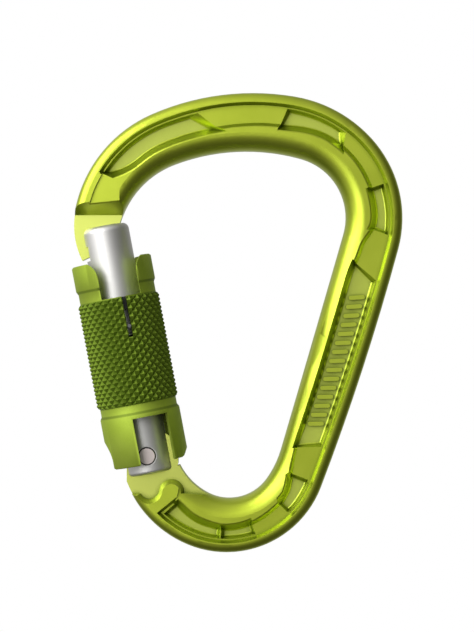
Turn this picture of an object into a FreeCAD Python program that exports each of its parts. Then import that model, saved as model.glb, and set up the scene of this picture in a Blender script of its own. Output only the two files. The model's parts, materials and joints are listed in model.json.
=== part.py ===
import FreeCAD, Part
import math
import os

# Locking carabiner with a twist sleeve: pear-shaped body, hinged gate, sprung sleeve.
# Row frame: X to the spine, Y through the thickness, +Z to the wide basket, in mm.
# The origin is the highest point of the wide basket's inner surface.
# The gate group has its own frame: origin on the hinge, local Z along the gate.

os.makedirs("parts", exist_ok=True)
doc = FreeCAD.newDocument("carabiner")
sheet = doc.addObject("Spreadsheet::Sheet", "dims")

DIMENSIONS = {
    # body thickness and levels, measured from the middle plane
    "body_thickness": 12.0,
    "rib_level": 5.3,
    "plateau_level": 4.3,
    "floor_level": 2.7,
    "tread_level": 3.4,
    "crest_round": 0.5,
    "floor_round": 0.5,
    "tongue_half": 2.0,
    "tang_half": 2.2,
    "rim_width": 3.1,
    "rim_round": 2.0,
    "crown_height": 13.63,
    "crown_shift": 1.61,
    # hinge and gate
    "hinge_x": -23.63,
    "hinge_z": -72.84,
    "gate_tilt": 10.7,
    "gate_diameter": 11.3,
    "gate_top": 55.9,
    "gate_bottom": -4.3,
    "gate_top_round": 1.5,
    "gate_bottom_round": 0.8,
    "rivet_edge": 0.3,
    "fork_gap": 4.7,
    "fork_depth": 7.0,
    "rivet_diameter": 4.3,
    "rivet_length": 11.0,
    "rivet_clearance": 0.05,
    # nose
    "tongue_tip": 48.9,
    "key_half": 2.9,
    "key_height": 2.3,
    "slot_clearance": 0.3,
    # tang cam
    "cam_radius": 5.5,
    "cam_offset": 1.9,
    # plunger and its spring
    "plunger_tip": 1.5,
    "plunger_head": 4.5,
    "bore_diameter": 4.6,
    "bore_end": 27.0,
    # sleeve
    "sleeve_bottom": -1.8,
    "sleeve_top": 47.4,
    "sleeve_bore": 16.1,
    "collar_diameter": 19.25,
    "neck_diameter": 18.4,
    "knurl_diameter": 19.7,
    "knurl_bottom": 13.2,
    "knurl_top": 37.7,
    "upper_window": 9.5,
    "lower_window": 8.6,
    "upper_window_floor": 38.4,
    "lower_window_roof": 9.4,
    "flange_bore": 15.0,
    "leg_slot_width": 1.1,
    "leg_slot_bottom": 28.6,
    # bushes, ring and sleeve spring
    "bush_diameter": 15.8,
    "bush_height": 3.0,
    "ring_thickness": 0.6,
    "coil_radius": 6.75,
    "coil_wire": 0.9,
    "run_gap": 0.1,
}
for row, (alias, number) in enumerate(DIMENSIONS.items(), start=1):
    sheet.set("A%d" % row, alias)
    sheet.set("B%d" % row, str(number))
    sheet.setAlias("B%d" % row, alias)
doc.recompute()


def dim(alias):
    """Value of one cell of the sheet."""
    return float(sheet.get(alias))


HALF = dim("body_thickness") / 2
TILT = math.radians(dim("gate_tilt"))
SIDES = (("front", -1), ("back", 1))


# ---------------------------------------------------------------- outlines

def vec(x, y, z=0.0):
    return FreeCAD.Vector(x, y, z)


def ray(angle):
    """Unit vector of the sketch plane at an angle in degrees."""
    return vec(math.cos(math.radians(angle)), math.sin(math.radians(angle)))


def by_gate(across, along):
    """Point of the body's sketch plane given in the gate's own frame."""
    return vec(
        dim("hinge_x") + across * math.cos(TILT) - along * math.sin(TILT),
        dim("hinge_z") + across * math.sin(TILT) + along * math.cos(TILT),
    )


class Outline:
    """Chain of tangent clockwise arcs in the sketch plane (x, z).

    It is laid out both ways from a top point where it runs along +X. Each arc is a
    (radius, turn in degrees) pair. Stations count along the chain from the nose step,
    which is after the first `before_zero` arcs. Insets count to the inside.
    """

    def __init__(self, top, left, right, before_zero=0):
        self.pieces = []
        for side, arcs in ((1, left), (-1, right)):
            angle = 90.0
            centre = top - ray(angle) * arcs[0][0]
            radius = arcs[0][0]
            for next_radius, turn in arcs:
                centre = centre + ray(angle) * (radius - next_radius)
                radius = next_radius
                start = angle + turn if side > 0 else angle
                place = 0 if side > 0 else len(self.pieces)
                self.pieces.insert(place, (centre, radius, start, turn))
                angle += side * turn
        self.zero = sum(self.length(piece) for piece in self.pieces[:before_zero])
        self.end = sum(self.length(piece) for piece in self.pieces) - self.zero

    @staticmethod
    def length(piece):
        return piece[1] * math.radians(piece[3])

    def point(self, station, inset=0.0):
        """Point at a station of the chain, moved in by the inset."""
        run = station + self.zero
        for piece in self.pieces[:-1]:
            if run <= self.length(piece):
                break
            run -= self.length(piece)
        else:
            piece = self.pieces[-1]
        centre, radius, start, turn = piece
        return centre + ray(start - math.degrees(run / radius)) * (radius - inset)

    def arcs(self, first, last, inset=0.0):
        """Arcs of the chain between two stations, moved in by the inset."""
        cuts = [first]
        run = -self.zero
        for piece in self.pieces:
            run += self.length(piece)
            if first + 0.5 < run < last - 0.5:
                cuts.append(run)
        cuts.append(last)
        return [
            Part.Arc(self.point(a, inset), self.point((a + b) / 2, inset), self.point(b, inset))
            for a, b in zip(cuts, cuts[1:])
        ]


OUTER = Outline(
    vec(dim("crown_shift"), dim("crown_height")),
    left=[(60.1, 23.7), (31.5, 55.9), (18.6, 37.0)],
    right=[(60.1, 9.5), (32.0, 37.6), (28.2, 58.0), (590.0, 5.8), (24.1, 91.5), (26.7, 46.2)],
    before_zero=1,
)
INNER = Outline(
    vec(0, 0),
    left=[(48.3, 21.1), (21.4, 51.9)],
    right=[
        (48.3, 16.0), (14.6, 90.0), (8000.0, 0.07), (8000.0, 0.315),
        (23.3, 19.3), (11.0, 81.1), (15.4, 36.6),
    ],
)

# Inset of the web's inner edge from the outer outline, at stations along it.
WEB_EDGE = [
    (12.5, 4.6), (16, 6.8), (20, 7.5), (42, 7.7), (62, 7.4), (80, 6.2), (108, 6.3),
    (117, 8.4), (124, 9.4), (166, 9.0), (184, 6.3), (205, 5.5), (213, 6.0), (222, 6.9),
]


def web_inset(station):
    """Inset of the web's inner edge, eased between the stated stations."""
    for (s0, i0), (s1, i1) in zip(WEB_EDGE, WEB_EDGE[1:]):
        if station <= s1:
            break
    share = min(max((station - s0) / (s1 - s0), 0.0), 1.0)
    return i0 + (i1 - i0) * (1 - math.cos(math.pi * share)) / 2


def line(a, b):
    return Part.LineSegment(a, b)


def spline(points):
    curve = Part.BSplineCurve()
    curve.interpolate(points)
    return curve


def closed(points):
    """Lines that join the points in a ring."""
    return [line(a, b) for a, b in zip(points, points[1:] + points[:1])]


def circle(centre, radius):
    return Part.Circle(centre, vec(0, 0, 1), radius)


# ---------------------------------------------------------------- feature helpers

def new_body(name, placement=None):
    body = doc.addObject("PartDesign::Body", name)
    body.Label = name
    if placement:
        body.Placement = placement
    return body


def gate_body(name):
    """Body whose own frame is the gate's, bound to the hinge place in the sheet."""
    body = new_body(name)
    body.Placement.Rotation = FreeCAD.Rotation(vec(0, -1, 0), 1.0)
    body.setExpression("Placement.Base.x", "dims.hinge_x")
    body.setExpression("Placement.Base.z", "dims.hinge_z")
    body.setExpression("Placement.Rotation.Angle", "dims.gate_tilt")
    return body


def plane_of(body, role):
    for feature in body.Origin.OriginFeatures:
        if feature.Role == role:
            return feature
    raise ValueError(role)


def sketch(body, name, role, geometry, offset=0.0):
    """Sketch on one of the body's origin planes, moved along the plane's normal."""
    made = doc.addObject("Sketcher::SketchObject", name)
    body.addObject(made)
    made.AttachmentSupport = [(plane_of(body, role), "")]
    made.MapMode = "FlatFace"
    made.AttachmentOffset = FreeCAD.Placement(vec(0, 0, offset), FreeCAD.Rotation())
    made.addGeometry(geometry, False)
    return made


def feature(body, kind, name, profile, **values):
    """PartDesign feature on a sketch; text values are expressions on the sheet."""
    made = doc.addObject("PartDesign::" + kind, name)
    body.addObject(made)
    made.Profile = profile
    for key, value in values.items():
        if isinstance(value, str) and not key.endswith("Type"):
            made.setExpression(key, value)
        else:
            setattr(made, key, value)
    doc.recompute()
    return made


def pad_both(body, name, role, geometry, length):
    """Pad of equal depth on both sides of the plane."""
    profile = sketch(body, name + "_sketch", role, geometry)
    return feature(body, "Pad", name, profile, Midplane=True, Length=length)


def cut_both(body, name, role, geometry, length):
    profile = sketch(body, name + "_sketch", role, geometry)
    before = body.Shape.Volume
    made = feature(body, "Pocket", name, profile, Midplane=True, Length=length)
    check_removed(name, before, body.Shape.Volume)
    return made


def loft_cut(body, name, role, sections):
    """Ruled cut between two sections, each an (offset, geometry) pair."""
    first, second = [
        sketch(body, "%s_%s" % (name, tag), role, geometry, offset)
        for tag, (offset, geometry) in zip(("low", "high"), sections)
    ]
    before = body.Shape.Volume
    made = feature(body, "SubtractiveLoft", name, first, Ruled=True, Sections=[second])
    check_removed(name, before, body.Shape.Volume)
    return made


def turned(body, kind, name, points):
    """Revolution or groove about the local Z axis of an (r, z) outline."""
    geometry = closed([vec(r, z) for r, z in points])
    profile = sketch(body, name + "_sketch", "XZ_Plane", geometry)
    before = body.Shape.Volume if kind == "Groove" else None
    made = feature(body, kind, name, profile, ReferenceAxis=(profile, ["V_Axis"]))
    if kind == "Groove":
        check_removed(name, before, body.Shape.Volume)
    return made


def check_removed(name, before, after):
    if not after < before - 1e-3:
        raise RuntimeError("%s removes nothing" % name)


def edges_where(shape, test):
    return ["Edge%d" % i for i, edge in enumerate(shape.Edges, start=1) if test(edge)]


def dress(body, kind, name, base, edges, size_key, size):
    made = doc.addObject("PartDesign::" + kind, name)
    body.addObject(made)
    made.Base = (base, edges)
    made.setExpression(size_key, size)
    doc.recompute()
    return made


# ---------------------------------------------------------------- frame body

# Rounding of the rope surface at the joints between the inner outline's arcs.
ROPE_ROUNDING = [3.0, 4.0, 4.2, 4.5, 4.5, 4.4, 4.4, 4.4, 4.4, 4.4]


def blank_outline():
    """Whole outline of the body with its hinge end left plain."""
    tip = by_gate(2.6, dim("tongue_tip"))
    inset = dim("rim_width") / 2
    outline = OUTER.arcs(-OUTER.zero, OUTER.end, inset) + INNER.arcs(0, INNER.end)
    outline.append(line(OUTER.point(OUTER.end, inset), INNER.point(INNER.end)))
    outline.append(line(INNER.point(0), tip))
    outline.append(line(tip, OUTER.point(-OUTER.zero, inset)))
    return outline


def joint_stations(outline):
    stations = [0.0]
    for piece in outline.pieces:
        stations.append(stations[-1] + outline.length(piece))
    return stations


def rope_edges(shape):
    """(edge number, radius at its start, radius at its end) for the inner edges."""
    stations = joint_stations(INNER)
    joints = [INNER.point(station) for station in stations]
    rows = []
    for number, edge in enumerate(shape.Edges, start=1):
        ends = [edge.valueAt(edge.FirstParameter), edge.valueAt(edge.LastParameter)]
        flat = [vec(end.x, end.z) for end in ends]
        on_face = all(abs(abs(end.y) - dim("rib_level")) < 0.01 for end in ends)
        near = [min(range(len(joints)), key=lambda k: (joints[k] - p).Length) for p in flat]
        on_joint = all((joints[k] - p).Length < 0.01 for k, p in zip(near, flat))
        if on_face and on_joint and near[0] != near[1]:
            rows.append((number, ROPE_ROUNDING[near[0]], ROPE_ROUNDING[near[1]]))
    return rows


blank = new_body("body_blank")
pad_both(blank, "blank_pad", "XZ_Plane", blank_outline(), "dims.rib_level * 2")
rounding = doc.addObject("Part::Fillet", "rope_rounding")
rounding.Base = blank
rounding.Edges = rope_edges(blank.Shape)
doc.recompute()

# Full-thickness band: outer rim, widened to a plain face before the hinge step.
rim = dim("rim_width")
nose_end = -OUTER.zero
hinge_end = OUTER.point(OUTER.end)
band = OUTER.arcs(nose_end, OUTER.end)
band += OUTER.arcs(nose_end, 221.5, rim)
band.append(line(OUTER.point(nose_end), OUTER.point(nose_end, rim)))
widening = [
    OUTER.point(221.5, rim), OUTER.point(223.5, 8.4), by_gate(6.4, -8.0),
    hinge_end + (INNER.point(INNER.end) - hinge_end) * 0.8, hinge_end,
]
band += [line(a, b) for a, b in zip(widening, widening[1:])]
band_body = new_body("rim_band")
band_pad = pad_both(band_body, "rim_pad", "XZ_Plane", band, "dims.body_thickness")


def rim_edge(edge):
    """True for the edges where the rim's face meets the outer outline."""
    middle = edge.valueAt((edge.FirstParameter + edge.LastParameter) / 2)
    spot = vec(middle.x, middle.z)
    if abs(abs(middle.y) - HALF) > 0.01 or edge.Length < 2:
        return False
    return min((OUTER.point(k / 2.0) - spot).Length for k in range(-24, 470)) < 0.3


dress(band_body, "Fillet", "rim_rounding", band_pad, edges_where(band_body.Shape, rim_edge),
      "Radius", "dims.rim_round")
forging = doc.addObject("Part::MultiFuse", "forging")
forging.Shapes = [rounding, band_body]
forging.Refine = True
doc.recompute()
frame_body = new_body("frame_body")
frame_body.BaseFeature = forging
doc.recompute()

# Tang and its eccentric end, which the gate's plunger rides on.
cam_centre = by_gate(dim("cam_offset"), 0)


def on_cam(angle):
    return cam_centre + ray(angle + dim("gate_tilt")) * dim("cam_radius")


tang = [Part.Arc(on_cam(150), on_cam(70), on_cam(-10))]
tang_points = [
    on_cam(-10), by_gate(6.9, -3.3), by_gate(5.5, -5.5), by_gate(-4.0, -8.0),
    OUTER.point(OUTER.end), by_gate(-5.3, -1.5), on_cam(150),
]
tang += [line(a, b) for a, b in zip(tang_points, tang_points[1:])]
pad_both(frame_body, "tang_plate", "XZ_Plane", tang, "dims.tang_half * 2")

# Step down to the tang: an S made of a hollow and a round boss that touch.
VALLEY = vec(-23.15, -80.9)
BOSS = vec(-17.82, -81.5)
VALLEY_RADIUS = 2.3
BOSS_RADIUS = 3.0
SLOPE_RUN = 0.9


def step_outline(grow):
    """Area cleared above the tang; grow moves its edge back over the body."""
    valley = VALLEY_RADIUS + grow
    boss = BOSS_RADIUS - grow
    across = math.degrees(math.atan2(BOSS.y - VALLEY.y, BOSS.x - VALLEY.x))
    touch = VALLEY + ray(across) * valley
    left = VALLEY + ray(205) * valley
    right = BOSS + ray(-5) * boss
    low_left = vec(left.x - 8, left.y)
    high_left = vec(left.x - 8, -60)
    high_right = vec(right.x + 12, -60)
    low_right = vec(right.x + 12, right.y - 1)
    return [
        Part.Arc(left, VALLEY + ray((205 + 360 + across) / 2) * valley, touch),
        Part.Arc(touch, BOSS + ray((across + 180 - 5) / 2) * boss, right),
        line(right, low_right),
        line(low_right, high_right),
        line(high_right, high_left),
        line(high_left, low_left),
        line(low_left, left),
    ]


for tag, side in SIDES:
    loft_cut(frame_body, "hinge_step_" + tag, "XZ_Plane", [
        (side * dim("tang_half"), step_outline(0.0)),
        (side * (HALF + 0.5), step_outline(SLOPE_RUN * 1.15)),
    ])

# Step down to the nose tongue: a sloped face on each side, longer towards the rib.
STEP_FOOT = -15.4
STEP_RISE_OUTSIDE = 2.0
STEP_RISE_INSIDE = 5.2
for tag, side in SIDES:
    sections = []
    for x, rise in ((-46.0, STEP_RISE_OUTSIDE), (-26.0, STEP_RISE_INSIDE)):
        low = side * dim("tongue_half")
        high = side * (HALF + 0.5)
        sections.append((x, closed([
            vec(low, STEP_FOOT), vec(high, STEP_FOOT + rise), vec(high, -31), vec(low, -31),
        ])))
    loft_cut(frame_body, "nose_step_" + tag, "YZ_Plane", sections)

# Web: one shallow channel on each face, with deeper pockets sunk into it.
# Each pocket is (name, outer stations, inner stations, slopes of its two ends).
END_SLOPE = 0.45
POCKETS = [
    ("nose", (12.5, 39.0), (12.9, 44.0), (END_SLOPE, 1.6)),
    ("crown", (65.0, 79.5), (63.5, 82.0), (END_SLOPE, 1.0)),
    ("shoulder", (99.0, 111.5), (99.0, 110.5), (END_SLOPE, END_SLOPE)),
    ("spine", (124.5, 165.0), (121.5, 167.5), (END_SLOPE, END_SLOPE)),
    ("heel", (175.0, 184.3), (175.0, 184.3), (END_SLOPE, END_SLOPE)),
    ("foot", (196.5, 204.8), (196.5, 204.8), (END_SLOPE, END_SLOPE)),
    ("hinge", (206.5, 222.0), (206.5, 221.5), (END_SLOPE, END_SLOPE)),
]
CHANNEL_ENDS = ((12.0, 223.5), (12.4, 222.8))
OUTER_WALL_SLOPE = 0.36
POCKET_WALL_SLOPE = 0.55
CHANNEL_WALL_SLOPE = 0.9
CHANNEL_NARROWING = 0.35
TOP_LEVEL = HALF + 0.5
LEDGE = 0.3


def web_section(outer_stations, inner_stations, end_slopes, rise, outer_inset, inner_shift):
    """Edge of a recess at one level, `rise` above its floor."""
    (a0, a1), (b0, b1) = outer_stations, inner_stations
    first, last = (slope * rise for slope in end_slopes)
    a0, b0, a1, b1 = a0 - first, b0 - first, a1 + last, b1 + last
    count = max(3, round((b1 - b0) / 4))
    stations = [b0 + (b1 - b0) * k / count for k in range(count + 1)]
    inner = [
        OUTER.point(station, max(web_inset(station) + inner_shift, outer_inset + 0.4))
        for station in stations
    ]
    return OUTER.arcs(a0, a1, outer_inset) + [
        line(OUTER.point(a0, outer_inset), inner[0]),
        spline(inner),
        line(inner[-1], OUTER.point(a1, outer_inset)),
    ]


def outer_wall(level, ledge=0.0):
    return 3.45 + ledge - OUTER_WALL_SLOPE * (level - dim("floor_level"))


for tag, side in SIDES:
    loft_cut(frame_body, "channel_" + tag, "XZ_Plane", [
        (side * level, web_section(
            *CHANNEL_ENDS, (END_SLOPE, END_SLOPE), level - dim("plateau_level"), outer_wall(level),
            CHANNEL_WALL_SLOPE * (level - dim("plateau_level")) - CHANNEL_NARROWING))
        for level in (dim("plateau_level"), TOP_LEVEL)
    ])
for name, outer_stations, inner_stations, end_slopes in POCKETS:
    for tag, side in SIDES:
        loft_cut(frame_body, "%s_%s" % (name, tag), "XZ_Plane", [
            (side * level, web_section(
                outer_stations, inner_stations, end_slopes, level - dim("floor_level"),
                outer_wall(level, LEDGE), POCKET_WALL_SLOPE * (level - dim("floor_level")) - LEDGE))
            for level in (dim("floor_level"), TOP_LEVEL)
        ])


def samples(edge):
    span = edge.LastParameter - edge.FirstParameter
    return [edge.valueAt(edge.FirstParameter + span * k / 4) for k in range(5)]


def turn_across(shape, edge):
    """Angle in degrees between the two faces that meet at an edge."""
    normals = []
    for face in shape.ancestorsOfType(edge, Part.Face):
        u, v = face.Surface.parameter(samples(edge)[2])
        normals.append(face.normalAt(u, v))
    return math.degrees(normals[0].getAngle(normals[1])) if len(normals) == 2 else 0.0


def crest_edge(edge):
    """True for the top of a web wall where it meets the rope rib."""
    levels = [abs(spot.y) for spot in samples(edge)]
    if edge.Length < 3.4 or min(levels) < 4.5 or max(levels) > dim("rib_level") + 0.05:
        return False
    return 40 < turn_across(frame_body.Shape.Solids[0], edge) < 75


def floor_edge(edge):
    return all(abs(abs(spot.y) - dim("floor_level")) < 0.01 for spot in samples(edge))


dress(frame_body, "Fillet", "crest_rounding", frame_body.Tip,
      edges_where(frame_body.Shape, crest_edge), "Radius", "dims.crest_round")
dress(frame_body, "Fillet", "floor_rounding", frame_body.Tip,
      edges_where(frame_body.Shape, floor_edge), "Radius", "dims.floor_round")

# Row of plain slanted bars, raised from the floor of the long spine pocket.
TREAD_FIRST = 129.0
TREAD_LAST = 161.0
TREAD_COUNT = 15
TREAD_INSET = 6.35
TREAD_SPAN = 1.35
TREAD_HALF_WIDTH = 0.5
TREAD_LEAN = 0.5


def bar(station):
    """Round-ended bar that crosses the pocket at a station."""
    low = OUTER.point(station - TREAD_LEAN, TREAD_INSET - TREAD_SPAN)
    high = OUTER.point(station + TREAD_LEAN, TREAD_INSET + TREAD_SPAN)
    along = (high - low).normalize() * TREAD_HALF_WIDTH
    beside = vec(-along.y, along.x)
    return [
        line(low + beside, high + beside),
        Part.Arc(high + beside, high + along, high - beside),
        line(high - beside, low - beside),
        Part.Arc(low - beside, low - along, low + beside),
    ]


bars = []
for k in range(TREAD_COUNT):
    bars += bar(TREAD_FIRST + (TREAD_LAST - TREAD_FIRST) * k / (TREAD_COUNT - 1))
pad_both(frame_body, "tread_bars", "XZ_Plane", bars, "dims.tread_level * 2")


# ---------------------------------------------------------------- nose key and hinge hole

# Key at the tip of the tongue, which hooks under the lips of the gate's slot.
key_low = dim("tongue_tip")
key_high = key_low + dim("key_height")
pad_both(frame_body, "nose_key", "XZ_Plane", closed([
    by_gate(-4.3, key_low), by_gate(2.6, key_low), by_gate(2.9, key_high), by_gate(-4.3, key_high),
]), "dims.key_half * 2")
cut_both(frame_body, "hinge_hole", "XZ_Plane",
         [circle(by_gate(0, 0), dim("rivet_diameter") / 2 + dim("rivet_clearance"))],
         "dims.body_thickness * 2")


# ---------------------------------------------------------------- gate

def at_height(edge, height):
    """True for a full circle of the gate group at a height along the gate."""
    centre = edge.Curve.Center if edge.Curve.TypeId == "Part::GeomCircle" else None
    return bool(centre) and abs((centre - HINGE).dot(GATE_UP) - height) < 0.01


HINGE = FreeCAD.Vector(dim("hinge_x"), 0, dim("hinge_z"))
GATE_UP = FreeCAD.Vector(-math.sin(TILT), 0, math.cos(TILT))
gate = gate_body("gate")
radius = dim("gate_diameter") / 2
gate_bar = turned(gate, "Revolution", "gate_bar", [
    (0, dim("gate_bottom")), (radius, dim("gate_bottom")),
    (radius, dim("gate_top")), (0, dim("gate_top")),
])
dress(gate, "Fillet", "gate_top_edge", gate_bar,
      edges_where(gate.Shape, lambda edge: at_height(edge, dim("gate_top"))),
      "Radius", "dims.gate_top_round")
dress(gate, "Fillet", "gate_bottom_edge", gate.Tip,
      edges_where(gate.Shape, lambda edge: at_height(edge, dim("gate_bottom"))),
      "Radius", "dims.gate_bottom_round")


def box(x0, x1, z0, z1):
    return closed([vec(x0, z0), vec(x1, z0), vec(x1, z1), vec(x0, z1)])


def box_points(r0, r1, z0, z1):
    return [(r0, z0), (r1, z0), (r1, z1), (r0, z1)]


REACH = 12.0
gap = dim("fork_gap") / 2
cut_both(gate, "fork_slot", "YZ_Plane", box(-gap, gap, -REACH, dim("fork_depth")),
         "dims.gate_diameter * 2")

# Keyhole slot for the nose: open at the top and on the outer side.
slip = dim("slot_clearance")
slot_half = dim("tongue_half") + slip
key_slot_half = dim("key_half") + slip
cavity_floor = dim("tongue_tip") - 0.75
cavity_roof = dim("tongue_tip") + dim("key_height") + 0.45
slot_back = 4.35
key_back = 3.3
for name, half, low, high, back in (
    ("nose_slot", slot_half, cavity_floor, dim("gate_top") + 2, slot_back),
    ("key_slot", key_slot_half, cavity_floor, cavity_roof, key_back),
):
    profile = sketch(gate, name + "_sketch", "YZ_Plane", box(-half, half, low, high), back)
    before = gate.Shape.Volume
    feature(gate, "Pocket", name, profile, Length=REACH + back)
    check_removed(name, before, gate.Shape.Volume)

turned(gate, "Groove", "plunger_bore", [
    (0, 0), (dim("bore_diameter") / 2, 0),
    (dim("bore_diameter") / 2, dim("bore_end")), (0, dim("bore_end")),
])
cut_both(gate, "rivet_hole", "XZ_Plane", [circle(vec(0, 0), dim("rivet_diameter") / 2)],
         "dims.gate_diameter * 2")
ring_low = dim("lower_window_roof") + 0.15
ring_high = ring_low + dim("ring_thickness")
groove_floor = radius - 0.6
turned(gate, "Groove", "ring_groove", [
    (groove_floor, ring_low - 0.03), (radius + 1, ring_low - 0.03),
    (radius + 1, ring_high + 0.03), (groove_floor, ring_high + 0.03),
])
# Shallow relief round the rivet heads on both cheeks.
for tag, side in SIDES:
    profile = sketch(gate, "head_relief_%s_sketch" % tag, "XZ_Plane",
                     [circle(vec(0, 0), dim("rivet_diameter") / 2 + 0.2)], side * 5.0)
    feature(gate, "Pocket", "head_relief_" + tag, profile, Length=3, Reversed=side > 0)

# ---------------------------------------------------------------- rivet

hinge_rivet = gate_body("hinge_rivet")
profile = sketch(hinge_rivet, "rivet_sketch", "XZ_Plane", [circle(vec(0, 0), dim("rivet_diameter") / 2)])
rivet_pad = feature(hinge_rivet, "Pad", "rivet_pad", profile, Midplane=True, Length="dims.rivet_length")
rivet_rims = edges_where(hinge_rivet.Shape, lambda edge: edge.Length > dim("rivet_length"))
dress(hinge_rivet, "Chamfer", "rivet_edge", rivet_pad, rivet_rims, "Size", "dims.rivet_edge")

# ---------------------------------------------------------------- plunger and its spring

# The plunger rests against the eccentric end with a small gap.
tip = dim("plunger_tip")
reach = dim("cam_radius") + tip + 0.05
tip_centre = math.sqrt(reach ** 2 - dim("cam_offset") ** 2)
head_low = tip_centre + 2.6
head_high = head_low + 3.0
gate_plunger = gate_body("gate_plunger")
round_nose = [
    Part.Arc(vec(0, tip_centre - tip), vec(0, tip_centre) + ray(-45) * tip, vec(tip, tip_centre)),
]
head = dim("plunger_head") / 2
plunger_points = [
    vec(tip, tip_centre), vec(tip, head_low), vec(head, head_low), vec(head, head_high),
    vec(0, head_high), vec(0, tip_centre - tip),
]
round_nose += [line(a, b) for a, b in zip(plunger_points, plunger_points[1:])]
profile = sketch(gate_plunger, "plunger_sketch", "XZ_Plane", round_nose)
feature(gate_plunger, "Revolution", "plunger_turning", profile, ReferenceAxis=(profile, ["V_Axis"]))


def coil(coil_radius, wire, height, turns):
    """Round wire wound up the local Z axis from the origin's level."""
    helix = Part.makeHelix(height / turns, height, coil_radius)
    section = Part.Wire(Part.makeCircle(wire / 2, vec(coil_radius, 0, 0), vec(0, 1, 0)))
    return Part.Wire(helix.Edges).makePipeShell([section], True, True)


spring_wire = 0.6
spring_radius = (dim("bore_diameter") - spring_wire) / 2 - 0.15
spring_low = head_high + spring_wire / 2 + 0.02
spring_high = dim("bore_end") - spring_wire / 2 - 0.02
gate_spring = doc.addObject("Part::Feature", "gate_spring")
gate_spring.Label = "gate_spring"
gate_spring.Shape = coil(spring_radius, spring_wire, spring_high - spring_low, 9)
gate_spring.Placement = gate.Placement * FreeCAD.Placement(vec(0, 0, spring_low), FreeCAD.Rotation())

# ---------------------------------------------------------------- sleeve

collar = dim("collar_diameter") / 2
neck = dim("neck_diameter") / 2
knurl = dim("knurl_diameter") / 2
bore = dim("sleeve_bore") / 2
flange = dim("flange_bore") / 2
knurl_low = dim("knurl_bottom")
knurl_high = dim("knurl_top")
sleeve_low = dim("sleeve_bottom")
sleeve_high = dim("sleeve_top")
EDGE = 0.35
LINE_WIDTH = 0.45
LINE_DEPTH = 0.3
lower_line = 10.6
upper_line = 41.0
shoulder_low = knurl_low + 0.3
shoulder_high = 34.2
flange_width = 1.0

locking_sleeve = gate_body("locking_sleeve")
outside = [
    (collar - EDGE, sleeve_low), (collar, sleeve_low + EDGE),
    (collar, lower_line - LINE_WIDTH), (neck, lower_line + LINE_DEPTH),
    (neck, knurl_low - 0.5), (knurl, knurl_low),
    (knurl, knurl_high), (neck, knurl_high + 0.5),
    (neck, upper_line - LINE_DEPTH), (collar, upper_line + LINE_WIDTH),
    (collar, sleeve_high - EDGE), (collar - EDGE, sleeve_high),
]
inside = [
    (bore, sleeve_high), (bore, shoulder_high + flange_width), (flange, shoulder_high + flange_width),
    (flange, shoulder_high), (bore, shoulder_high), (bore, shoulder_low + flange_width),
    (flange, shoulder_low + flange_width), (flange, shoulder_low), (bore, shoulder_low),
    (bore, sleeve_low),
]
turned(locking_sleeve, "Revolution", "sleeve_turning", outside + inside)


def facing(body, name, azimuth, geometry, start=0.0):
    """Sketch that looks out of the sleeve at an azimuth from the front face."""
    made = sketch(body, name + "_sketch", "XZ_Plane", geometry)
    turn = FreeCAD.Rotation(vec(0, 1, 0), azimuth)
    made.AttachmentOffset = FreeCAD.Placement(turn.multVec(vec(0, 0, start)), turn)
    return made


def cut_facing(body, name, azimuth, geometry, **values):
    profile = facing(body, name, azimuth, geometry, values.pop("start", 0.0))
    before = body.Shape.Volume
    feature(body, "Pocket", name, profile, **values)
    check_removed(name, before, body.Shape.Volume)


# Windows at both ends, milled straight through, with flared mouths at the nose end.
UPPER_AZIMUTH = 8.75
LOWER_AZIMUTH = 17.4
LEG_AZIMUTH = 11.5
upper_half = dim("upper_window") / 2
lower_half = dim("lower_window") / 2
flare = 1.8
flare_low = sleeve_high - 3.6
mouth = sleeve_high + 2
upper_floor = dim("upper_window_floor")
upper_window = [
    line(vec(-upper_half, upper_floor), vec(upper_half, upper_floor)),
    line(vec(upper_half, upper_floor), vec(upper_half, flare_low)),
    Part.Arc(vec(upper_half, flare_low), vec(upper_half + flare * 0.22, sleeve_high - 1.8),
             vec(upper_half + flare, sleeve_high)),
    line(vec(upper_half + flare, sleeve_high), vec(upper_half + flare, mouth)),
    line(vec(upper_half + flare, mouth), vec(-upper_half - flare, mouth)),
    line(vec(-upper_half - flare, mouth), vec(-upper_half - flare, sleeve_high)),
    Part.Arc(vec(-upper_half - flare, sleeve_high), vec(-upper_half - flare * 0.22, sleeve_high - 1.8),
             vec(-upper_half, flare_low)),
    line(vec(-upper_half, flare_low), vec(-upper_half, upper_floor)),
]
cut_facing(locking_sleeve, "upper_windows", UPPER_AZIMUTH, upper_window, Midplane=True, Length=30)
cut_facing(locking_sleeve, "lower_windows", LOWER_AZIMUTH,
           box(-lower_half, lower_half, sleeve_low - 2, dim("lower_window_roof")),
           Midplane=True, Length=30)
slot_half = dim("leg_slot_width") / 2
cut_facing(locking_sleeve, "leg_slot", LEG_AZIMUTH,
           box(-slot_half, slot_half, dim("leg_slot_bottom"), upper_floor + 1),
           start=5.0, Length=10, Reversed=True)

# Reliefs at the foot of the ears: an arch on the outside, a shallow one by the body's neck.
for name, azimuth, relief_radius, centre_height in (
    ("outer_arch", -90, 5.1, 0.0),
    ("neck_arch", 90, 5.6, -5.5),
):
    low = sleeve_low - 5
    arch = [
        Part.Arc(vec(-relief_radius, centre_height), vec(0, centre_height + relief_radius),
                 vec(relief_radius, centre_height)),
        line(vec(relief_radius, centre_height), vec(relief_radius, low - 3)),
        line(vec(relief_radius, low - 3), vec(-relief_radius, low - 3)),
        line(vec(-relief_radius, low - 3), vec(-relief_radius, centre_height)),
    ]
    cut_facing(locking_sleeve, name, azimuth, arch, start=4.0, Length=10, Reversed=True)

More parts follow.
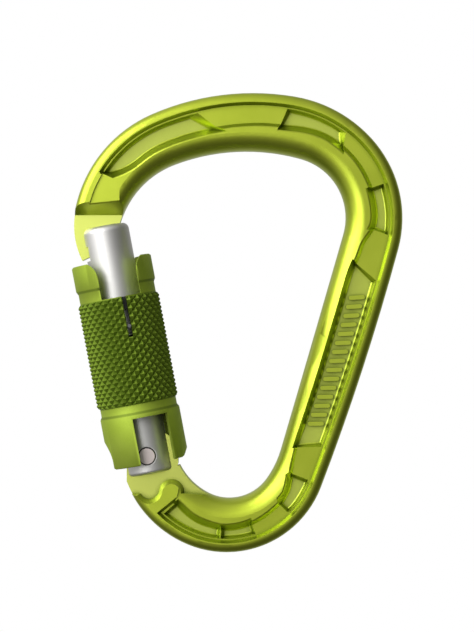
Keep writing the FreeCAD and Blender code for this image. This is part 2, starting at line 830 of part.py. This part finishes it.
# Recess inside the lower neck, in which the lower bush's lug limits the twist.
TWIST = 76.0
LUG_AZIMUTH = 150.0
lug_half_angle = 7.0
lug_radius = 8.45
recess_radius = lug_radius + 0.2
recess_sweep = TWIST + 2 * lug_half_angle + 3.0
recess = facing(locking_sleeve, "lug_recess", LUG_AZIMUTH - 90 + lug_half_angle + 1.5,
                box(flange, recess_radius, lower_line - 0.6, shoulder_low))
before = locking_sleeve.Shape.Volume
feature(locking_sleeve, "Groove", "lug_recess_cut", recess,
        ReferenceAxis=(recess, ["V_Axis"]), Angle=recess_sweep, Reversed=True)
check_removed("lug_recess_cut", before, locking_sleeve.Shape.Volume)

# ---------------------------------------------------------------- bushes and ring

bush = dim("bush_diameter") / 2
bush_height = dim("bush_height")
run = dim("run_gap")
lower_bush_top = shoulder_low - run
upper_bush_low = shoulder_high + flange_width + run
lower_bush = gate_body("lower_bush")
lower_bush_low = lower_bush_top - bush_height
turned(lower_bush, "Revolution", "lower_bush_ring",
       box_points(radius, bush, lower_bush_low, lower_bush_top))
lug_half = lug_radius * math.sin(math.radians(lug_half_angle))
lug_root = 6.5
profile = facing(lower_bush, "lug", LUG_AZIMUTH,
                 box(-lug_half, lug_half, lower_bush_low + 0.3, lower_bush_top), start=lug_root)
feature(lower_bush, "Pad", "lug_pad", profile, Length=lug_radius - lug_root)
coil_radius = dim("coil_radius")
wire = dim("coil_wire")
leg_bottom = lower_bush_top - 2.0
profile = sketch(lower_bush, "leg_hole_sketch", "XY_Plane",
                 [circle(vec(coil_radius, 0), wire / 2 + 0.1)], lower_bush_top + 1)
before = lower_bush.Shape.Volume
feature(lower_bush, "Pocket", "leg_hole", profile, Length=3.2)
check_removed("leg_hole", before, lower_bush.Shape.Volume)

upper_bush = gate_body("upper_bush")
turned(upper_bush, "Revolution", "upper_bush_ring",
       box_points(radius, bush, upper_bush_low, upper_bush_low + bush_height))

ring_inner = groove_floor + 0.03
ring_outer = ring_inner + 1.5
retaining_ring = gate_body("retaining_ring")
turned(retaining_ring, "Revolution", "ring_turning",
       box_points(ring_inner, ring_outer, ring_low, ring_high))
cut_facing(retaining_ring, "ring_opening", 180, box(-2.6, 2.6, ring_low - 1, ring_high + 1),
           Length=10, Reversed=True)

# ---------------------------------------------------------------- sleeve spring

coil_low = shoulder_low + flange_width + wire / 2 + 0.2
coil_high = shoulder_high - wire / 2 - 0.3 - 2.2
TURNS = 8
lead = LEG_AZIMUTH - 90
wound = coil(coil_radius, wire, coil_high - coil_low, TURNS + lead / 360)
wound.translate(vec(0, 0, coil_low))
foot = vec(coil_radius, 0, leg_bottom)
leg_axial = Part.makeCylinder(wire / 2, coil_low - leg_bottom, foot)
out = vec(math.cos(math.radians(lead)), math.sin(math.radians(lead)), 0)
leg_out = Part.makeCylinder(wire / 2, 9.1 - coil_radius, out * coil_radius + vec(0, 0, coil_high), out)
knees = [Part.makeSphere(wire / 2, vec(coil_radius, 0, coil_low)),
         Part.makeSphere(wire / 2, out * coil_radius + vec(0, 0, coil_high))]
sleeve_spring = doc.addObject("Part::Feature", "sleeve_spring")
sleeve_spring.Label = "sleeve_spring"
sleeve_spring.Shape = wound.multiFuse([leg_axial, leg_out] + knees)
sleeve_spring.Placement = gate.Placement
doc.recompute()

# ---------------------------------------------------------------- export

NODES = [
    frame_body, gate, hinge_rivet, gate_plunger, gate_spring,
    locking_sleeve, sleeve_spring, lower_bush, upper_bush, retaining_ring,
]
doc.recompute()
for item in doc.Objects:
    if "Invalid" in item.State or "Error" in item.State:
        raise RuntimeError("%s did not compute: %s" % (item.Name, item.State))
for node in NODES:
    if node.Shape.isNull() or not node.Shape.isValid() or len(node.Shape.Solids) != 1:
        raise RuntimeError("%s is not one sound solid" % node.Label)
    node.Shape.exportStep("parts/%s.step" % node.Label)
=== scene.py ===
import json
import math

import bmesh
import bpy
from mathutils import Matrix, Vector


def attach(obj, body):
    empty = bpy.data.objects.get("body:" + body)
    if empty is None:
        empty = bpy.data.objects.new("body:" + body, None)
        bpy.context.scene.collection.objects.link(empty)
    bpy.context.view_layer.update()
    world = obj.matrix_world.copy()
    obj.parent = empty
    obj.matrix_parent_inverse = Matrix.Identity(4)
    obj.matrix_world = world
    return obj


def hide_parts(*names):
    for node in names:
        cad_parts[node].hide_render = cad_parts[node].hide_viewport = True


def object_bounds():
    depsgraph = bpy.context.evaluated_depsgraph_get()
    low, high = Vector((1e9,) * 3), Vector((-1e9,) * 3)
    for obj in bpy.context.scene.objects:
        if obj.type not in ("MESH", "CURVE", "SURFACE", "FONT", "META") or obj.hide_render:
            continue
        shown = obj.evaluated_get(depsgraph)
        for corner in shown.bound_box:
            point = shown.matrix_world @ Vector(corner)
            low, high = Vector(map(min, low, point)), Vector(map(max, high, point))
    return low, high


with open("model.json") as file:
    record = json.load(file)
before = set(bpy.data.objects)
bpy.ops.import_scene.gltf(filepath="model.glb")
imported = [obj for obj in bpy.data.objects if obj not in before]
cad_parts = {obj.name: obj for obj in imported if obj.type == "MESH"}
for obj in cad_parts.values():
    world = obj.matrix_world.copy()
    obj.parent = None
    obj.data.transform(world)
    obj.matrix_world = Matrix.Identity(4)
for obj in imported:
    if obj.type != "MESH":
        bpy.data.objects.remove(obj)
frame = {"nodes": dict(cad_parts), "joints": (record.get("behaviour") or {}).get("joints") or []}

# Locking carabiner. The row frame is X to the spine, +Y away from the viewer, +Z up.
# The gate has a frame of its own: the hinge is its origin, Y is the row's Y, and Z runs
# up the gate, which leans by GATE_TILT.
cad_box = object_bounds()
nodes = frame["nodes"]
joints = {joint["name"]: joint for joint in frame["joints"]}
scene = bpy.context.scene

MM = 0.001
THROUGH = Vector((0, 1, 0))
HINGE = Vector(joints["gate_hinge"]["pos_m"])
GATE_UP = Vector(joints["sleeve_twist"]["axis"]).normalized()
GATE_ACROSS = THROUGH.cross(GATE_UP)
GATE_TILT = math.atan2(-GATE_UP.x, GATE_UP.z)
GATE_TO_ROW = Matrix.Translation(HINGE) @ Matrix(
    (GATE_ACROSS, THROUGH, GATE_UP)).transposed().to_4x4()

# The knurl, in millimetres up the gate and out from its axis. It runs 0.6 mm past the CAD
# band at each end, so that its grooves run out into the collars.
KNURL_LOW = 12.6
KNURL_HIGH = 38.3
KNURL_RADIUS = 9.85
PEAK_RADIUS = 9.97
ROOT_RADIUS = 9.2
CLEAR_RADIUS = 10.8
COLUMNS = 56
ROWS = 26
SHARP_ANGLE = math.radians(28)


# ---------------------------------------------------------------- shader node helpers

class Graph:
    """Adds shader nodes to a material or world, and links them."""

    def __init__(self, owner):
        owner.use_nodes = True
        self.tree = owner.node_tree
        self.tree.nodes.clear()

    def put(self, socket, value):
        if isinstance(value, bpy.types.NodeSocket):
            self.tree.links.new(value, socket)
        else:
            socket.default_value = value

    def add(self, kind, inputs=None, **settings):
        node = self.tree.nodes.new("ShaderNode" + kind)
        for key, value in settings.items():
            setattr(node, key, value)
        for key, value in (inputs or {}).items():
            self.put(node.inputs[key], value)
        return node

    def place(self):
        """Position on the piece, in metres in the row frame at rest."""
        return self.add("TexCoord").outputs["Object"]

    def math(self, operation, a, b=0.0):
        return self.add("Math", {0: a, 1: b}, operation=operation).outputs[0]

    def times(self, *values):
        result = values[0]
        for value in values[1:]:
            result = self.math("MULTIPLY", result, value)
        return result

    def vary(self, base, pattern, amount):
        """The base value, changed by `amount` where the pattern is 1."""
        return self.math("ADD", self.times(pattern, amount), base)

    def hypotenuse(self, a, b):
        return self.math("SQRT", self.math("ADD", self.times(a, a), self.times(b, b)))

    def through(self, vector):
        """Size of a vector's Y part, which is the same on the front and the back."""
        return self.math("ABSOLUTE", self.add("SeparateXYZ", {0: vector}).outputs["Y"])

    def ease(self, value, low, high):
        """0 at low and 1 at high, eased between; low may be the larger one."""
        node = self.add("MapRange", {"Value": value, "From Min": low, "From Max": high},
                        interpolation_type="SMOOTHSTEP")
        return node.outputs["Result"]

    def mix(self, share, a, b):
        """Colour a where the share is 0, and b where it is 1."""
        factor_input, a_input, b_input = 0, 6, 7
        node = self.add("Mix", data_type="RGBA")
        for index, value in ((factor_input, share), (a_input, a), (b_input, b)):
            self.put(node.inputs[index], value)
        return node.outputs[2]

    def paint(self, under, mask, strength, over):
        """Lays one colour over another by a mask, with `strength` as the most it covers."""
        return self.mix(self.times(mask, strength), under, over)

    def cloudy(self, place, scale, pair):
        """A slow, uneven blend between the two colours of a pair."""
        cloud = self.noise(place, scale=scale, detail=4.0)
        return self.mix(self.ease(cloud, low=0.3, high=0.7), *pair)

    def along(self, place, origin, direction):
        """Distance from a point along a direction."""
        offset = self.add("VectorMath", {0: place, 1: origin}, operation="SUBTRACT").outputs[0]
        reach = self.add("VectorMath", {0: offset, 1: direction}, operation="DOT_PRODUCT")
        return reach.outputs["Value"]

    def noise(self, place, scale, detail=3.0):
        node = self.add("TexNoise", {"Vector": place, "Scale": scale, "Detail": detail})
        return node.outputs["Fac"]

    def streaks(self, place, turn, scale):
        """Noise drawn out into lines; scale is per axis, after a turn about Y."""
        drawn = self.add("Mapping", {"Vector": place, "Rotation": (0.0, turn, 0.0), "Scale": scale})
        return self.noise(drawn.outputs[0], scale=1.0, detail=2.0)

    def bump(self, height, strength, distance, under=None):
        """Surface relief; `under` is another bump that this one is added to."""
        inputs = {"Height": height, "Strength": strength, "Distance": distance}
        if under:
            inputs["Normal"] = under
        return self.add("Bump", inputs).outputs["Normal"]

    def finish(self, **inputs):
        """The Principled shader; Base_Color sets its Base Color, and so on."""
        names = {key.replace("_", " "): value for key, value in inputs.items()}
        shader = self.add("BsdfPrincipled", names)
        self.add("OutputMaterial", {"Surface": shader.outputs[0]})


def new_material(name):
    material = bpy.data.materials.new(name)
    return material, Graph(material)


def tint(red, green, blue):
    return (red, green, blue, 1.0)


# ---------------------------------------------------------------- materials

# Colours are linear, and a pair holds the two ends of a slow change over the surface.
LIME = (tint(0.46, 0.555, 0.035), tint(0.51, 0.605, 0.045))
# The pocket floors are paler for their duller finish, and for a painted reflection of the front
# light.
LIME_POCKET_MATTE_AND_SHEEN = tint(0.54, 0.61, 0.12)
LIME_LAND = tint(0.68, 0.74, 0.16)
# Painted shade for the body's nooks.
LIME_PAINTED_SHADE = tint(0.12, 0.17, 0.004)
GREEN = (tint(0.33, 0.44, 0.04), tint(0.37, 0.48, 0.055))
# Painted shade along the collar steps.
GREEN_STEP_SHADE = tint(0.10, 0.15, 0.01)
# Painted shade over the knurled band.
GREEN_BAND_SHADE = tint(0.14, 0.225, 0.012)
# Painted shade in the knurl's grooves.
GREEN_GROOVE_SHADE = tint(0.06, 0.11, 0.005)
# Painted highlight on the diamond tips.
GREEN_TIP_HIGHLIGHT = tint(0.30, 0.40, 0.06)
GATE_SATIN = (tint(0.72, 0.71, 0.69), tint(0.78, 0.77, 0.75))
RIVET = (tint(0.60, 0.52, 0.49), tint(0.70, 0.63, 0.60))
RIVET_RIM = tint(0.03, 0.03, 0.025)
SPRING_STEEL = (tint(0.30, 0.30, 0.31), tint(0.42, 0.42, 0.43))
BLACK = (tint(0.018, 0.018, 0.020), tint(0.034, 0.034, 0.038))
PALE = tint(0.85, 0.85, 0.85)
WHITE = tint(1, 1, 1)

# Machining lines, as noise scales along X, Y and Z. A small scale draws the noise out
# along its axis.
UPRIGHT_LINES = (3800.0, 3800.0, 60.0)
TURNED_LINES = (60.0, 60.0, 5200.0)
CROSS_LINES = (2600.0, 60.0, 60.0)
MILLED_LINES = (30.0, 30.0, 2600.0)

# The body's flat faces, by distance from its middle plane: the nose and hinge lands are at
# 2.0 mm, the pocket floors at 2.7 mm and the plateaus between the pockets at 4.3 mm.
# Each pair here and below is a range over which a mask eases from 0 to 1. FLAT_FACING is for
# the size of the normal's Y part.
FLAT_FACING = (0.95, 0.99)
LAND_TOP = (2.4 * MM, 2.5 * MM)
POCKET_TOP = (3.6 * MM, 2.9 * MM)

# Painted shade from ambient occlusion: a nook gets darker as the value falls.
PAINTED_SHADE_REACH = 1.8 * MM
PAINTED_SHADE_RANGE = (0.92, 0.42)

# The knurled band's ends and the levels of the two collar steps, up the gate from the hinge.
BAND_START = (12.4 * MM, 12.9 * MM)
BAND_END = (38.5 * MM, 38.0 * MM)
COLLAR_STEPS = (10.6 * MM, 41.1 * MM)
# Distance from a collar step for its painted shade line, and distances out from the gate's axis for
# painted shade in the grooves and painted highlights on the diamond tips.
STEP_SHADE_RANGE = (0.45 * MM, 0.15 * MM)
GROOVE_SHADE_RANGE = (PEAK_RADIUS * MM, ROOT_RADIUS * MM)
TIP_HIGHLIGHT_RANGE = ((KNURL_RADIUS - 0.12) * MM, KNURL_RADIUS * MM)

# Where the rivet's head meets the gate, out from the rivet's axis.
RIVET_EDGE = (1.86 * MM, 1.98 * MM)


def anodised_body():
    """Lime anodised forging: duller pocket floors paled by a painted reflection, milled lands and
    painted shade in nooks.
    """
    material, graph = new_material("anodised_lime")
    place = graph.place()
    depth = graph.through(place)
    flat = graph.ease(graph.through(graph.add("NewGeometry").outputs["Normal"]), *FLAT_FACING)
    above_lands = graph.ease(depth, *LAND_TOP)
    land = graph.times(flat, graph.math("SUBTRACT", 1.0, above_lands))
    pocket = graph.times(flat, above_lands, graph.ease(depth, *POCKET_TOP))
    # Ambient occlusion, for painted shade in the nooks.
    occlusion = graph.add("AmbientOcclusion", {"Distance": PAINTED_SHADE_REACH}, only_local=True, samples=8)
    painted_shade = graph.ease(occlusion.outputs["AO"], *PAINTED_SHADE_RANGE)
    grain = graph.noise(place, scale=4200.0, detail=2.0)
    marks = graph.streaks(place, turn=0.0, scale=MILLED_LINES)

    colour = graph.cloudy(place, scale=110.0, pair=LIME)
    # Paler pocket floors: duller finish plus a painted reflection of the front light.
    colour = graph.paint(colour, pocket, strength=0.7, over=LIME_POCKET_MATTE_AND_SHEEN)
    colour = graph.paint(colour, land, strength=0.8, over=LIME_LAND)
    # Painted shade in the nooks.
    colour = graph.paint(colour, painted_shade, strength=0.75, over=LIME_PAINTED_SHADE)
    rough = graph.vary(0.34, grain, amount=0.12)
    rough = graph.vary(rough, pocket, amount=0.16)
    rough = graph.vary(rough, land, amount=-0.06)
    relief = graph.mix(land, grain, marks)
    graph.finish(Base_Color=colour, Metallic=1.0, Roughness=rough,
                 Normal=graph.bump(relief, strength=0.22, distance=0.03 * MM),
                 Coat_Weight=0.35, Coat_Roughness=0.28)
    return material


def anodised_sleeve():
    """Matte green anodised turning: painted shade on the collar steps, the knurled band and its
    grooves, and painted highlights on the diamond tips.
    """
    material, graph = new_material("anodised_green")
    place = graph.place()
    across = graph.along(place, HINGE, GATE_ACROSS)
    radius = graph.hypotenuse(across, graph.along(place, HINGE, THROUGH))
    up = graph.along(place, HINGE, GATE_UP)
    band = graph.times(graph.ease(up, *BAND_START), graph.ease(up, *BAND_END))
    # Painted shade in the grooves, and a painted highlight on the diamond tips.
    groove_shade = graph.times(band, graph.ease(radius, *GROOVE_SHADE_RANGE))
    tip_highlight = graph.times(band, graph.ease(radius, *TIP_HIGHLIGHT_RANGE))
    grain = graph.noise(place, scale=3600.0, detail=2.0)
    rings = graph.streaks(place, turn=-GATE_TILT, scale=TURNED_LINES)

    colour = graph.cloudy(place, scale=140.0, pair=GREEN)
    # Painted shade line along each collar step.
    for step_level in COLLAR_STEPS:
        off_step = graph.math("ABSOLUTE", graph.math("SUBTRACT", up, step_level))
        step_shade = graph.ease(off_step, *STEP_SHADE_RANGE)
        colour = graph.paint(colour, step_shade, strength=0.6, over=GREEN_STEP_SHADE)
    # Painted shade over the knurled band.
    colour = graph.paint(colour, band, strength=0.8, over=GREEN_BAND_SHADE)
    # Painted shade in the grooves, and a painted highlight on the diamond tips.
    colour = graph.paint(colour, groove_shade, strength=0.35, over=GREEN_GROOVE_SHADE)
    colour = graph.paint(colour, tip_highlight, strength=0.15, over=GREEN_TIP_HIGHLIGHT)
    ringed = graph.bump(rings, strength=0.10, distance=0.02 * MM)
    graph.finish(Base_Color=colour, Metallic=0.75,
                 Roughness=graph.vary(0.58, grain, amount=0.12),
                 Normal=graph.bump(grain, strength=0.20, distance=0.03 * MM, under=ringed))
    return material


def satin_metal(name, pair, roughness, turn, lines_scale):
    """Satin metal with fine machining lines and a slight unevenness."""
    material, graph = new_material(name)
    place = graph.place()
    lines = graph.streaks(place, turn=turn, scale=lines_scale)
    cloud = graph.noise(place, scale=150.0)
    grain = graph.noise(place, scale=5200.0, detail=2.0)
    lined = graph.bump(lines, strength=0.10, distance=0.02 * MM)
    graph.finish(Base_Color=graph.mix(cloud, *pair), Metallic=1.0,
                 Roughness=graph.vary(roughness, lines, amount=0.14),
                 Normal=graph.bump(grain, strength=0.12, distance=0.02 * MM, under=lined))
    return material


def rivet_metal():
    """Brushed pinkish rivet head, dark where its edge meets the gate."""
    material, graph = new_material("rivet_steel")
    place = graph.place()
    across = graph.along(place, HINGE, GATE_ACROSS)
    radius = graph.hypotenuse(across, graph.along(place, HINGE, GATE_UP))
    lines = graph.streaks(place, turn=0.6, scale=CROSS_LINES)
    colour = graph.mix(graph.noise(place, scale=400.0), *RIVET)
    colour = graph.mix(graph.ease(radius, *RIVET_EDGE), colour, RIVET_RIM)
    graph.finish(Base_Color=colour, Metallic=1.0,
                 Roughness=graph.vary(0.36, lines, amount=0.14),
                 Normal=graph.bump(lines, strength=0.10, distance=0.02 * MM))
    return material


def moulded_plastic():
    """Black moulded plastic with a fine spark-eroded grain."""
    material, graph = new_material("bush_plastic")
    place = graph.place()
    grain = graph.noise(place, scale=2600.0, detail=2.0)
    graph.finish(Base_Color=graph.mix(graph.noise(place, scale=300.0), *BLACK),
                 Roughness=graph.vary(0.4, grain, amount=0.2),
                 Normal=graph.bump(grain, strength=0.3, distance=0.04 * MM))
    return material


# ---------------------------------------------------------------- knurled sleeve

def ring_of_points(builder, radii, height):
    """A level ring about the gate's axis, with one radius for each column, in mm."""
    points = []
    for column, radius in enumerate(radii):
        angle = 2 * math.pi * (column / COLUMNS)
        local = Vector((radius * math.sin(angle), -radius * math.cos(angle), height))
        points.append(builder.verts.new(GATE_TO_ROW @ (local * MM)))
    return points


def is_peak(column, row):
    return (column + row) % 2 == 0


def knurl_cutter():
    """Ring round the sleeve whose inner face is a field of staggered pyramids."""
    builder = bmesh.new()
    row_height = (KNURL_HIGH - KNURL_LOW) / ROWS
    relief = []
    for row in range(ROWS + 1):
        radii = [PEAK_RADIUS if is_peak(column, row) else ROOT_RADIUS for column in range(COLUMNS)]
        relief.append(ring_of_points(builder, radii, KNURL_LOW + row * row_height))
    low = ring_of_points(builder, [CLEAR_RADIUS] * COLUMNS, KNURL_LOW)
    high = ring_of_points(builder, [CLEAR_RADIUS] * COLUMNS, KNURL_HIGH)
    for column in range(COLUMNS):
        beside = (column + 1) % COLUMNS
        for row in range(ROWS):
            a, b = relief[row][column], relief[row][beside]
            c, d = relief[row + 1][beside], relief[row + 1][column]
            # The diagonal joins the two root corners, so the grooves run along it.
            halves = ((a, b, d), (b, c, d)) if is_peak(column, row) else ((a, b, c), (a, c, d))
            for half in halves:
                builder.faces.new(half)
        builder.faces.new((low[beside], low[column], high[column], high[beside]))
        builder.faces.new((relief[0][beside], relief[0][column], low[column], low[beside]))
        builder.faces.new((relief[-1][column], relief[-1][beside], high[beside], high[column]))
    bmesh.ops.recalc_face_normals(builder, faces=builder.faces)
    mesh = bpy.data.meshes.new("knurl_cutter")
    builder.to_mesh(mesh)
    builder.free()
    return mesh


def welded_copy(node_name):
    """Copy of a CAD node's mesh, with the points that coincide joined into one."""
    mesh = nodes[node_name].data.copy()
    welder = bmesh.new()
    welder.from_mesh(mesh)
    bmesh.ops.remove_doubles(welder, verts=welder.verts, dist=0.001 * MM)
    welder.to_mesh(mesh)
    welder.free()
    return mesh


def shade_sleeve(mesh):
    """Smooth turned faces with sharp edges, and flat facets on the diamonds."""
    margin = 0.1
    mesh.shade_smooth()
    mesh.set_sharp_from_angle(angle=SHARP_ANGLE)
    from_row = GATE_TO_ROW.inverted()
    for facet in mesh.polygons:
        spot = from_row @ facet.center
        in_band = KNURL_LOW - margin < spot.z / MM < KNURL_HIGH + margin
        outside = math.hypot(spot.x, spot.y) / MM > ROOT_RADIUS - margin
        facet.use_smooth = not (in_band and outside)


def knurled_sleeve():
    """The sleeve with its plain band cut into diamonds."""
    piece = bpy.data.objects.new("knurled_sleeve", welded_copy("locking_sleeve"))
    cutter = bpy.data.objects.new("knurl_cutter", knurl_cutter())
    scene.collection.objects.link(piece)
    scene.collection.objects.link(cutter)
    cut = piece.modifiers.new("knurl", "BOOLEAN")
    cut.operation = "DIFFERENCE"
    cut.solver = "EXACT"
    cut.object = cutter
    evaluated = piece.evaluated_get(bpy.context.evaluated_depsgraph_get())
    shaped = bpy.data.meshes.new_from_object(evaluated)
    piece.modifiers.clear()
    piece.data = shaped
    bpy.data.objects.remove(cutter)
    shade_sleeve(shaped)
    return piece


sleeve = knurled_sleeve()
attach(sleeve, "sleeve")
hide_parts("locking_sleeve")

# ---------------------------------------------------------------- finishes

steel = satin_metal("spring_steel", SPRING_STEEL, roughness=0.28, turn=0.0,
                    lines_scale=UPRIGHT_LINES)
sleeve_green = anodised_sleeve()
plastic = moulded_plastic()
FINISHES = {
    "frame_body": anodised_body(),
    "gate": satin_metal("gate_satin", GATE_SATIN, roughness=0.46, turn=-GATE_TILT,
                        lines_scale=TURNED_LINES),
    "hinge_rivet": rivet_metal(),
    "gate_plunger": steel,
    "gate_spring": steel,
    "locking_sleeve": sleeve_green,
    "sleeve_spring": steel,
    "lower_bush": plastic,
    "upper_bush": plastic,
    "retaining_ring": steel,
}
for node_name, material in FINISHES.items():
    nodes[node_name].data.materials.clear()
    nodes[node_name].data.materials.append(material)
sleeve.data.materials.clear()
sleeve.data.materials.append(sleeve_green)

# ---------------------------------------------------------------- floor

# The floor lies well below the part, which hangs free in front of plain white.
FLOOR_RADIUS = 0.9
FLOOR_SIDES = 96
FLOOR_DROP = 0.16

floor_shape = bmesh.new()
bmesh.ops.create_circle(floor_shape, cap_ends=True, radius=FLOOR_RADIUS, segments=FLOOR_SIDES)
floor_mesh = bpy.data.meshes.new("floor")
floor_shape.to_mesh(floor_mesh)
floor_shape.free()
floor = bpy.data.objects.new("floor", floor_mesh)
floor.location = (0, 0, cad_box[0][2] - FLOOR_DROP)
scene.collection.objects.link(floor)
pale, floor_graph = new_material("pale_floor")
floor_graph.finish(Base_Color=PALE, Roughness=0.9)
floor_mesh.materials.append(pale)
# It neither shows in the metal nor throws light up at it.
floor.visible_glossy = False
floor.visible_diffuse = False

# ---------------------------------------------------------------- studio light

# The surroundings glow on the key light's side and behind the part, and are dim elsewhere.
# The camera itself sees plain white.
KEY_SIDE = Vector((-0.62, -0.45, 0.64)).normalized()
DIM_GLOW = 0.09
KEY_GLOW = 0.66
KEY_SPREAD = (-0.15, 1.0)
BACK_GLOW = 0.4
BACK_SPREAD = (0.1, 0.9)


def studio_world():
    world = bpy.data.worlds.new("studio")
    graph = Graph(world)
    aim = graph.add("TexCoord").outputs["Generated"]
    toward = graph.add("VectorMath", {0: aim, 1: KEY_SIDE}, operation="DOT_PRODUCT").outputs["Value"]
    level = graph.vary(DIM_GLOW, graph.ease(toward, *KEY_SPREAD), amount=KEY_GLOW)
    away = graph.add("SeparateXYZ", {0: aim}).outputs["Y"]
    behind = graph.ease(away, *BACK_SPREAD)
    level = graph.vary(level, behind, amount=BACK_GLOW)
    surround = graph.add("Background", {"Color": WHITE, "Strength": level})
    backdrop = graph.add("Background", {"Color": WHITE, "Strength": 1.0})
    seen = graph.add("LightPath").outputs["Is Camera Ray"]
    both = graph.add("MixShader", {0: seen, 1: surround.outputs[0], 2: backdrop.outputs[0]})
    graph.add("OutputWorld", {"Surface": both.outputs[0]})
    return world


scene.world = studio_world()
# Display colours without a film curve, so that white stays white.
scene.view_settings.view_transform = "Standard"

VIEW_MIDDLE = Vector((-2.2, 0.0, -39.5)) * MM


def softbox(name, place, size, power):
    """Square area light that faces the middle of the view."""
    light = bpy.data.lights.new(name, "AREA")
    light.size = size
    light.energy = power
    lamp = bpy.data.objects.new(name, light)
    lamp.location = place
    lamp.rotation_euler = (VIEW_MIDDLE - Vector(place)).to_track_quat("-Z", "Y").to_euler()
    scene.collection.objects.link(lamp)


softbox("key", place=(-0.42, -0.30, 0.24), size=0.40, power=2.0)
softbox("front", place=(-0.36, -0.70, 0.06), size=0.45, power=2.0)

# ---------------------------------------------------------------- camera

# It looks straight along Y, at the part's front face.
CAMERA_DISTANCE = 0.55
VIEW_WIDTH = 113.8 * MM
SENSOR_WIDTH = 36.0

lens = bpy.data.cameras.new("camera")
lens.sensor_fit = "HORIZONTAL"
lens.sensor_width = SENSOR_WIDTH
lens.lens = SENSOR_WIDTH * CAMERA_DISTANCE / VIEW_WIDTH
camera = bpy.data.objects.new("camera", lens)
camera.location = VIEW_MIDDLE - Vector((0, CAMERA_DISTANCE, 0))
camera.rotation_euler = (math.pi / 2, 0, 0)
scene.collection.objects.link(camera)
scene.camera = camera
